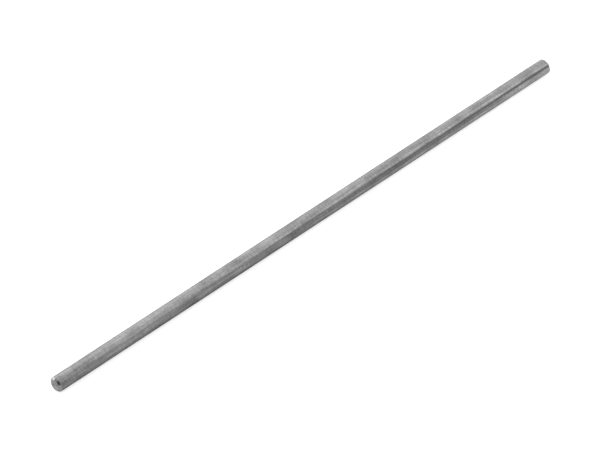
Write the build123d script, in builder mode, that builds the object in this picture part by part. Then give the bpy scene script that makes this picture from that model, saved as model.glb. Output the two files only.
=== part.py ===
from build123d import *
import math
import os

os.makedirs("parts", exist_ok=True)

# Clutch pushrod: one solid length of hardened steel bar, ground all along and chamfered at both ends.
# It slides inside a hollow gearbox mainshaft. One end is pushed by the clutch lever, and the other end
# pushes the pressure plate off the clutch.
# The rod's axis lies along X, and the origin is on the axis at half its length. Sizes are in millimetres.

# Driving dimensions
rod_length = 248.4  # from end face to end face
rod_diameter = 5.95  # ground bar, 15/64 of an inch, for a quarter-inch bore
chamfer_length = 0.64  # of each end's chamfer, measured along the axis
chamfer_slope = 45.0  # degrees between the chamfer and the axis
edge_radius = 0.12  # rounding of the deburred edges beside each chamfer

# Sizes that follow from them
rod_radius = rod_diameter / 2
half_length = rod_length / 2
face_radius = rod_radius - chamfer_length * math.tan(math.radians(chamfer_slope))

with BuildPart() as pushrod:
    # The half section that the rod is turned from: end face, chamfer, ground shank, chamfer and end
    # face, closed along the axis. The sketch's own X runs along the rod and its own Y outwards.
    with BuildSketch(Plane.XZ) as half_section:
        with BuildLine():
            Polyline(
                (-half_length, 0),
                (-half_length, face_radius),
                (-half_length + chamfer_length, rod_radius),
                (half_length - chamfer_length, rod_radius),
                (half_length, face_radius),
                (half_length, 0),
                close=True,
            )
        make_face()
        # The two lowest corners are the middles of the end faces. The other four are real edges.
        edge_corners = half_section.vertices().sort_by(Axis.Y)[2:]
        fillet(edge_corners, edge_radius)
    revolve(axis=Axis.X)

pushrod.part.label = "pushrod"
export_step(pushrod.part, "parts/pushrod.step")
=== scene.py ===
import math

import bmesh
import bpy
from mathutils import Matrix, Vector


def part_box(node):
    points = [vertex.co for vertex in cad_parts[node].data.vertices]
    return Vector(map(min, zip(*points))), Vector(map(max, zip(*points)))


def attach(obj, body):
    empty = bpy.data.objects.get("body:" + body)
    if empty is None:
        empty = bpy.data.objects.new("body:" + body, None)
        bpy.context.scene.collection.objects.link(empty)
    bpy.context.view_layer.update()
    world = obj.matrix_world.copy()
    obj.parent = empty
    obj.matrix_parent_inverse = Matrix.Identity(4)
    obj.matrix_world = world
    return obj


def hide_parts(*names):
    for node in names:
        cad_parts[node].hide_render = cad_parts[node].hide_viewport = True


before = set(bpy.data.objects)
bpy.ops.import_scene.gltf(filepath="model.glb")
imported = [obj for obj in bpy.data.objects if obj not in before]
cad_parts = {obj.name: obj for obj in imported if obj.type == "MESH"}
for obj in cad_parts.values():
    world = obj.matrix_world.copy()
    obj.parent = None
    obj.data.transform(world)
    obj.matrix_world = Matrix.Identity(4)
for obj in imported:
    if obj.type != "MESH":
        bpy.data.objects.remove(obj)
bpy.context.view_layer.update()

# Pushrod: one solid bar of hardened carbon steel, with nothing screwed, pressed or slid onto it.
# It is parted off, faced and chamfered on a lathe, then ground along its whole shank between two
# wheels. The sharp edges beside the chamfers are stoned off by hand last of all.
mm = 0.001  # in the scene's metres
rod_low, rod_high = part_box("pushrod")
half_length = rod_high.x
rod_radius = rod_high.z
chamfer_leg = 0.64 * mm
stoned_radius = 0.12 * mm
stoned_turn = math.radians(45)  # between a chamfer and the shank or the face beside it
facets_round = 128
shading_gap = 1.0 * mm  # from each shoulder to the loop that keeps the shank's shading true
face_rim = 0.2 * mm
shank_end = half_length - chamfer_leg
same_place = 0.001 * mm

rod = bmesh.new()
bmesh.ops.create_cone(
    rod,
    cap_ends=True,
    segments=facets_round,
    radius1=rod_radius,
    radius2=rod_radius,
    depth=2 * half_length,
    matrix=Matrix.Rotation(math.radians(90), 4, "Y"),
)


def hoops(mesh):
    """The edges that run round the rod, which are those whose two ends have the same X."""
    return [e for e in mesh.edges if abs(e.verts[0].co.x - e.verts[1].co.x) < same_place]


bmesh.ops.bevel(
    rod, geom=hoops(rod), offset=chamfer_leg, offset_type="OFFSET",
    segments=1, profile=0.5, affect="EDGES", material=-1,
)
bmesh.ops.bevel(
    rod, geom=hoops(rod), offset=stoned_radius * math.tan(stoned_turn / 2), offset_type="OFFSET",
    segments=3, profile=0.5, affect="EDGES", material=-1,
)
map_lengths = 4  # the shank is unrolled in this many lengths, side by side
length_in_map = 2 * half_length / map_lengths
cuts = [i * length_in_map - half_length for i in range(1, map_lengths)]
for x in cuts + [shading_gap - shank_end, shank_end - shading_gap]:
    bmesh.ops.bisect_plane(
        rod, geom=rod.verts[:] + rod.edges[:] + rod.faces[:],
        plane_co=(x, 0, 0), plane_no=(1, 0, 0),
    )
end_faces = [f for f in rod.faces if len(f.verts) == facets_round]
bmesh.ops.inset_region(rod, faces=end_faces, thickness=face_rim, use_even_offset=True)
bmesh.ops.poke(rod, faces=end_faces)

# The map that the finish is baked on: columns of shank with U round the rod and V along it, each cut
# open underneath, and then a narrow column that holds both ends as discs.
column_width = 0.23
column_step = 0.232
disc_centre_u = 0.964
disc_radius = 0.034
unrolled = rod.loops.layers.uv.new("OFBake")
for face in rod.faces:
    face.smooth = True
    centre = face.calc_center_median()
    at_end = abs(centre.x) > shank_end
    face.material_index = int(at_end)
    column = min(int((centre.x + half_length) / length_in_map), map_lengths - 1)
    middle_turn = math.atan2(centre.y, centre.z) / math.tau
    for loop in face.loops:
        spot = loop.vert.co
        if at_end:
            loop[unrolled].uv = (
                disc_centre_u + disc_radius * spot.y / rod_radius,
                0.5 + math.copysign(0.25, centre.x) + disc_radius * spot.z / rod_radius,
            )
        else:
            turn = math.atan2(spot.y, spot.z) / math.tau
            turn += round(middle_turn - turn)
            loop[unrolled].uv = (
                column * column_step + column_width * (turn + 0.5),
                (spot.x + half_length) / length_in_map - column,
            )
rod_mesh = bpy.data.meshes.new("ground_pushrod")
rod.to_mesh(rod_mesh)
rod.free()
pushrod = bpy.data.objects.new("ground_pushrod", rod_mesh)
bpy.context.scene.collection.objects.link(pushrod)


def linear(hex_colour):
    """Turns a written sRGB colour into the linear colour that a socket takes."""
    parts = [int(hex_colour[i:i + 2], 16) / 255 for i in (1, 3, 5)]
    return [p / 12.92 if p <= 0.04045 else ((p + 0.055) / 1.055) ** 2.4 for p in parts] + [1.0]


def add_node(tree, kind, settings=None, inputs=None):
    """Adds a node with its settings, and with each input set to a value or linked to another node."""
    node = tree.nodes.new(kind)
    for name, value in (settings or {}).items():
        setattr(node, name, value)
    for socket, value in (inputs or {}).items():
        if isinstance(value, bpy.types.Node):
            tree.links.new(value.outputs[0], node.inputs[socket])
        elif isinstance(value, bpy.types.NodeSocket):
            tree.links.new(value, node.inputs[socket])
        else:
            node.inputs[socket].default_value = value
    return node


def empty_tree(owner):
    """The owner's node tree, cleared."""
    owner.use_nodes = True
    owner.node_tree.nodes.clear()
    return owner.node_tree


# Ground carbon steel: the wheels leave fine marks that run round the bar, so it is satin and draws a
# highlight out along itself, while reflections stay sharper across it.
ground_steel = bpy.data.materials.new("ground_carbon_steel")
tree = empty_tree(ground_steel)
place = add_node(tree, "ShaderNodeTexCoord").outputs["Object"]
# Wheel marks are a few hundredths of a millimetre wide. They are drawn ten times coarser to show.
wheel_mark = Vector((1 / (0.32 * mm), 1 / (8 * mm), 1 / (8 * mm)))
marks = add_node(tree, "ShaderNodeTexNoise", {}, {
    "Vector": add_node(tree, "ShaderNodeMapping", {}, {"Vector": place, "Scale": wheel_mark}),
    "Scale": 1.0, "Detail": 3.0, "Roughness": 0.7,
})
# Oily fingers have dulled it in soft patches that are eight millimetres long.
patch = Vector((1 / (8 * mm), 1 / (4 * mm), 1 / (4 * mm)))
dulled = add_node(tree, "ShaderNodeTexNoise", {}, {
    "Vector": add_node(tree, "ShaderNodeMapping", {}, {"Vector": place, "Scale": patch}),
    "Scale": 1.0, "Detail": 1.0,
})
# Sliding in its bore rubs fine lengthwise lines into it, a centimetre or so long.
streak = Vector((1 / (14 * mm), 1 / (0.5 * mm), 1 / (0.5 * mm)))
streaks = add_node(tree, "ShaderNodeTexNoise", {}, {
    "Vector": add_node(tree, "ShaderNodeMapping", {}, {"Vector": place, "Scale": streak}),
    "Scale": 1.0, "Detail": 2.0,
})
# Handling and dried oil leave a fine mottle, with grains somewhat under a millimetre.
grain = Vector((1 / (0.7 * mm), 1 / (0.7 * mm), 1 / (0.7 * mm)))
mottle = add_node(tree, "ShaderNodeTexNoise", {}, {
    "Vector": add_node(tree, "ShaderNodeMapping", {}, {"Vector": place, "Scale": grain}),
    "Scale": 1.0, "Detail": 3.0, "Roughness": 0.6,
})
# Where all four layers are high the steel is bare and bright, and where they are low it is dull.
marks_share = 0.33
wear = add_node(tree, "ShaderNodeMath", {"operation": "MULTIPLY"}, {0: marks, 1: marks_share})
for layer, share in ((dulled, 0.3), (streaks, 0.3), (mottle, 0.35)):
    wear = add_node(tree, "ShaderNodeMath", {"operation": "MULTIPLY_ADD"}, {
        0: layer, 1: share, 2: wear,
    })
dull, bare = 0.46, 0.82
tone = add_node(tree, "ShaderNodeMapRange", {}, {"Value": wear, "From Min": dull, "From Max": bare})
steel = add_node(tree, "ShaderNodeMix", {"data_type": "RGBA"}, {
    0: tone, 6: linear("#646464"), 7: linear("#A4A4A4"),
})
satin = add_node(tree, "ShaderNodeMapRange", {}, {
    "Value": wear, "From Min": dull, "From Max": bare, "To Min": 0.36, "To Max": 0.24,
})
# Old damp has left a few dark pits, each about a quarter of a millimetre across, in loose patches.
# Only the highest part of each pattern counts, so the pits stay small and few.
pit_grain = Vector((1 / (0.4 * mm), 1 / (0.4 * mm), 1 / (0.4 * mm)))
pits = add_node(tree, "ShaderNodeTexNoise", {}, {
    "Vector": add_node(tree, "ShaderNodeMapping", {}, {"Vector": place, "Scale": pit_grain}),
    "Scale": 1.0, "Detail": 1.0,
})
patch_grain = Vector((1 / (8 * mm), 1 / (3 * mm), 1 / (3 * mm)))
patches = add_node(tree, "ShaderNodeTexNoise", {}, {
    "Vector": add_node(tree, "ShaderNodeMapping", {}, {"Vector": place, "Scale": patch_grain}),
    "Scale": 1.0, "Detail": 0.0,
})
pits = add_node(tree, "ShaderNodeMapRange", {}, {"Value": pits, "From Min": 0.64, "From Max": 0.74})
patches = add_node(tree, "ShaderNodeMapRange", {}, {"Value": patches, "From Min": 0.5, "From Max": 0.65})
pitted = add_node(tree, "ShaderNodeMath", {"operation": "MULTIPLY"}, {0: pits, 1: patches})
steel = add_node(tree, "ShaderNodeMix", {"data_type": "RGBA"}, {
    0: pitted, 6: steel.outputs[2], 7: linear("#524F4C"),
})
mark_depth = 0.006 * mm
relief = add_node(tree, "ShaderNodeBump", {}, {"Height": marks, "Strength": 1.0, "Distance": mark_depth})
lay = add_node(tree, "ShaderNodeTangent", {"direction_type": "RADIAL", "axis": "X"})
shader = add_node(tree, "ShaderNodeBsdfPrincipled", {}, {
    "Base Color": steel.outputs[2], "Metallic": 1.0, "Roughness": satin, "Normal": relief,
    "Anisotropic": 0.6, "Anisotropic Rotation": 0.25, "Tangent": lay,
    "Specular Tint": linear("#CCCCCC"),
})
add_node(tree, "ShaderNodeOutputMaterial", {}, {"Surface": shader})

# Turned carbon steel: the lathe tool leaves fine rings on the two faces and chamfers. They are a little
# brighter and smoother than the ground shank, and oil has dried on them in soft stains, which on the
# near face also paint shade and light.
turned_steel = bpy.data.materials.new("turned_carbon_steel")
tree = empty_tree(turned_steel)
place = add_node(tree, "ShaderNodeTexCoord").outputs["Object"]
# A place with its X flattened is as long as it is far from the rod's axis.
across_rod = add_node(tree, "ShaderNodeMapping", {}, {"Vector": place, "Scale": (0, 1, 1)})
from_axis = add_node(tree, "ShaderNodeVectorMath", {"operation": "LENGTH"}, {0: across_rod})
# The tool feeds about 0.05 mm a turn. The rings are drawn four times as far apart to show.
ring_pitch = 0.2 * mm
ring_depth = 0.0015 * mm
rings = add_node(tree, "ShaderNodeMath", {"operation": "PINGPONG"}, {
    0: from_axis.outputs["Value"], 1: ring_pitch / 2,
})
rings = add_node(tree, "ShaderNodeMath", {"operation": "DIVIDE"}, {0: rings, 1: ring_pitch / 2})
# The stains are about a millimetre and a half across.
grain = Vector((1 / (1.6 * mm), 1 / (1.6 * mm), 1 / (1.6 * mm)))
# Painted shade and highlight: the stains are shifted so that the near face is darkest just above its
# middle and the near chamfer stays bare and bright where it shows its glint.
stain_and_painted_shade_offset = Vector((11, 0.2, 0))  # to where the near face is darkest just above its middle
stain_and_painted_shade = add_node(tree, "ShaderNodeTexNoise", {}, {
    "Vector": add_node(tree, "ShaderNodeMapping", {}, {
        "Vector": place, "Scale": grain, "Location": stain_and_painted_shade_offset,
    }),
    "Scale": 1.0, "Detail": 4.0, "Roughness": 0.6,
})
rings_share = 0.15
wear = add_node(tree, "ShaderNodeMath", {"operation": "MULTIPLY_ADD"}, {
    0: rings, 1: rings_share, 2: stain_and_painted_shade,
})
dull, bare = 0.43, 0.7
tone = add_node(tree, "ShaderNodeMapRange", {}, {"Value": wear, "From Min": dull, "From Max": bare})
steel = add_node(tree, "ShaderNodeMix", {"data_type": "RGBA"}, {
    0: tone, 6: linear("#6E6E6E"), 7: linear("#B6B6B6"),
})
satin = add_node(tree, "ShaderNodeMapRange", {}, {
    "Value": wear, "From Min": dull, "From Max": bare, "To Min": 0.28, "To Max": 0.18,
})
groove = add_node(tree, "ShaderNodeBump", {}, {"Height": rings, "Strength": 1.0, "Distance": ring_depth})
shader = add_node(tree, "ShaderNodeBsdfPrincipled", {}, {
    "Base Color": steel.outputs[2], "Metallic": 1.0, "Roughness": satin, "Normal": groove,
})
add_node(tree, "ShaderNodeOutputMaterial", {}, {"Surface": shader})

pushrod.data.materials.append(ground_steel)
pushrod.data.materials.append(turned_steel)
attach(pushrod, "root")
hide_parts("pushrod")

# Table: a wide sheet of white paper that the rod lies on. It is white to the camera apart from the
# rod's faint shadow. Only the metal sees a painted glow on it: dim in front, as painted shade beside the
# rod on top of its real shadow there, and bright behind the rod and at its far end, as painted light.
table_size = 12.0
camera_glow = 0.65
# Painted light for the metal only: a dim glow as painted shade, and brighter pools far along and behind
# the rod.
metal_glow = 0.14
metal_glow_far = 0.7
metal_glow_behind = 1.3
far_from, far_to = -0.03, 0.13  # along the rod
behind_from, behind_to = 0.02, 0.06  # across it
table_bm = bmesh.new()
bmesh.ops.create_grid(
    table_bm, x_segments=1, y_segments=1, size=table_size / 2,
    matrix=Matrix.Translation((0, 0, rod_low.z)),
)
table_mesh = bpy.data.meshes.new("table")
table_bm.to_mesh(table_mesh)
table_bm.free()
table = bpy.data.objects.new("table", table_mesh)
bpy.context.scene.collection.objects.link(table)
white_paper = bpy.data.materials.new("white_paper")
tree = empty_tree(white_paper)
path = add_node(tree, "ShaderNodeLightPath").outputs
mirrored = add_node(tree, "ShaderNodeMath", {"operation": "MAXIMUM"}, {
    0: path["Is Glossy Ray"], 1: path["Is Transmission Ray"],
})
across = add_node(tree, "ShaderNodeTexCoord").outputs["Object"]
split = add_node(tree, "ShaderNodeSeparateXYZ", {}, {0: across}).outputs
# The painted glow rises towards the rod's far end and behind the rod.
far = add_node(tree, "ShaderNodeMapRange", {"interpolation_type": "SMOOTHSTEP"}, {
    "Value": split["X"], "From Min": far_from, "From Max": far_to,
    "To Min": metal_glow, "To Max": metal_glow_far,
})
behind = add_node(tree, "ShaderNodeMapRange", {"interpolation_type": "SMOOTHSTEP"}, {
    "Value": split["Y"], "From Min": behind_from, "From Max": behind_to,
    "To Min": metal_glow, "To Max": metal_glow_behind,
})
lit = add_node(tree, "ShaderNodeMath", {"operation": "MAXIMUM"}, {0: far, 1: behind})
glow = add_node(tree, "ShaderNodeMath", {"operation": "MULTIPLY"}, {0: mirrored, 1: lit})
glow = add_node(tree, "ShaderNodeMath", {"operation": "MULTIPLY_ADD"}, {
    0: path["Is Camera Ray"], 1: camera_glow, 2: glow,
})
both = add_node(tree, "ShaderNodeAddShader", {}, {
    0: add_node(tree, "ShaderNodeEmission", {}, {"Strength": glow}),
    1: add_node(tree, "ShaderNodeBsdfDiffuse", {}, {"Color": linear("#C8C8C8")}),
})
add_node(tree, "ShaderNodeOutputMaterial", {}, {"Surface": both})
table.data.materials.append(white_paper)

# Camera: it looks down along the rod from past its near end. Its lens and its distance give the two
# ends the widths that they have in the photograph.
azimuth = math.radians(-43.623)
elevation = math.radians(43.185)
distance = 1.748
aim = Vector((-0.004609, 0, 0.0000835))
toward_camera = Vector((
    math.sin(azimuth) * math.cos(elevation),
    -math.cos(azimuth) * math.cos(elevation),
    math.sin(elevation),
))
camera_data = bpy.data.cameras.new("camera")
camera_data.lens = 286.42
camera_data.sensor_width = 36
camera = bpy.data.objects.new("camera", camera_data)
camera.location = aim + toward_camera * distance
camera.rotation_euler = toward_camera.to_track_quat("Z", "Y").to_euler()
bpy.context.scene.collection.objects.link(camera)
bpy.context.scene.camera = camera

# Studio lights: soft lamps overhead and behind, and grey, black and glowing cards that only the metal
# mirrors, as painted reflections. The cards draw the dark line along the far half, its wide soft part at
# mid length and the crescent on the near chamfer. One of them lies on the paper in front of the rod as
# painted shade.


def softbox(name, centre, facing, size, radiance):
    """A rectangular lamp, given by the brightness that a mirror would show."""
    lamp = bpy.data.lights.new(name, "AREA")
    lamp.shape = "RECTANGLE"
    lamp.size, lamp.size_y = size
    lamp.energy = radiance * math.pi * size[0] * size[1]
    holder = bpy.data.objects.new(name, lamp)
    holder.location = centre
    holder.rotation_euler = Vector(facing).to_track_quat("-Z", "Y").to_euler()
    holder.visible_camera = False
    bpy.context.scene.collection.objects.link(holder)


def card(name, centre, facing, size, grey, slant=0):
    """A card that only the metal sees, as an even grey in its reflections. Its slant is in degrees."""
    turn = Vector(facing).to_track_quat("Z", "Y").to_matrix().to_4x4()
    turn = turn @ Matrix.Rotation(math.radians(slant), 4, "Z")
    card_bm = bmesh.new()
    bmesh.ops.create_grid(
        card_bm, x_segments=1, y_segments=1, size=0.5,
        matrix=Matrix.Translation(centre) @ turn @ Matrix.Diagonal((*size, 1, 1)),
    )
    card_mesh = bpy.data.meshes.new(name)
    card_bm.to_mesh(card_mesh)
    card_bm.free()
    board = bpy.data.objects.new(name, card_mesh)
    board.visible_camera = False
    board.visible_diffuse = False
    board.visible_shadow = False
    bpy.context.scene.collection.objects.link(board)
    paint = bpy.data.materials.new(name)
    paint_tree = empty_tree(paint)
    even = add_node(paint_tree, "ShaderNodeEmission", {}, {"Color": (grey, grey, grey, 1)})
    add_node(paint_tree, "ShaderNodeOutputMaterial", {}, {"Surface": even})
    card_mesh.materials.append(paint)


softbox(
    "overhead_right", centre=(0.365, -0.19, 0.36), facing=(0, 0, -1), size=(0.39, 0.26), radiance=0.72,
)
softbox(
    "overhead_left", centre=(0.10, 0.21, 0.36), facing=(0, 0, -1), size=(0.12, 0.34), radiance=0.5,
)
softbox(
    "back_left", centre=(-0.44, 0.50, 0.15), facing=(0.33, -0.5, 0), size=(0.34, 0.30), radiance=0.74,
)
card(
    "left_flag", centre=(-0.42, -0.104, 0.09), facing=(1, 0.35, -0.2), size=(0.36, 0.19), grey=0.02,
    slant=45,
)
card(
    "left_card", centre=(-0.43, 0.15, 0.19), facing=(0.78, -0.37, -0.5), size=(0.30, 0.22), grey=0.6,
)
card("right_flag", centre=(0.34, -0.30, 0.152), facing=(0, 1, 0), size=(0.28, 0.11), grey=0.1)
card("low_flag", centre=(0.24, -0.31, 0.05), facing=(0, 1, 0), size=(0.10, 0.10), grey=0.25)
# A grey mat on the paper that only the metal sees: painted shade in front of the rod at mid length.
card("painted_shade_mat", centre=(0.06, -0.063, -0.0024), facing=(0, 0, 1), size=(0.10, 0.10), grey=0.3)
# A glowing card that only the metal sees: a painted reflection of light along the far end's lower side.
card("glowing_reflection_card", centre=(0.385, -0.31, 0.046), facing=(0, 1, 0), size=(0.19, 0.092), grey=1.35)

# World: an even white room, a little brighter behind the rod than in front of it, and brightest low
# down behind it, where the rod's upper edge mirrors it.
front_level, back_level, low_back_level = 0.88, 1.38, 0.45
front_way, back_way = -0.7, 0.3  # as the Y of a direction
low_back_from, low_back_to = 0.55, 0.86
world = bpy.data.worlds.new("studio")
bpy.context.scene.world = world
tree = empty_tree(world)
way = add_node(tree, "ShaderNodeTexCoord").outputs["Generated"]
backward = add_node(tree, "ShaderNodeSeparateXYZ", {}, {0: way}).outputs["Y"]
level = add_node(tree, "ShaderNodeMapRange", {}, {
    "Value": backward, "From Min": front_way, "From Max": back_way,
    "To Min": front_level, "To Max": back_level,
})
low_back = add_node(tree, "ShaderNodeMapRange", {}, {
    "Value": backward, "From Min": low_back_from, "From Max": low_back_to,
    "To Min": 0.0, "To Max": low_back_level,
})
level = add_node(tree, "ShaderNodeMath", {"operation": "ADD"}, {0: level, 1: low_back})
sky = add_node(tree, "ShaderNodeBackground", {}, {"Color": linear("#FFFFFF"), "Strength": level})
add_node(tree, "ShaderNodeOutputWorld", {}, {"Surface": sky})

bpy.context.scene.view_settings.view_transform = "Standard"
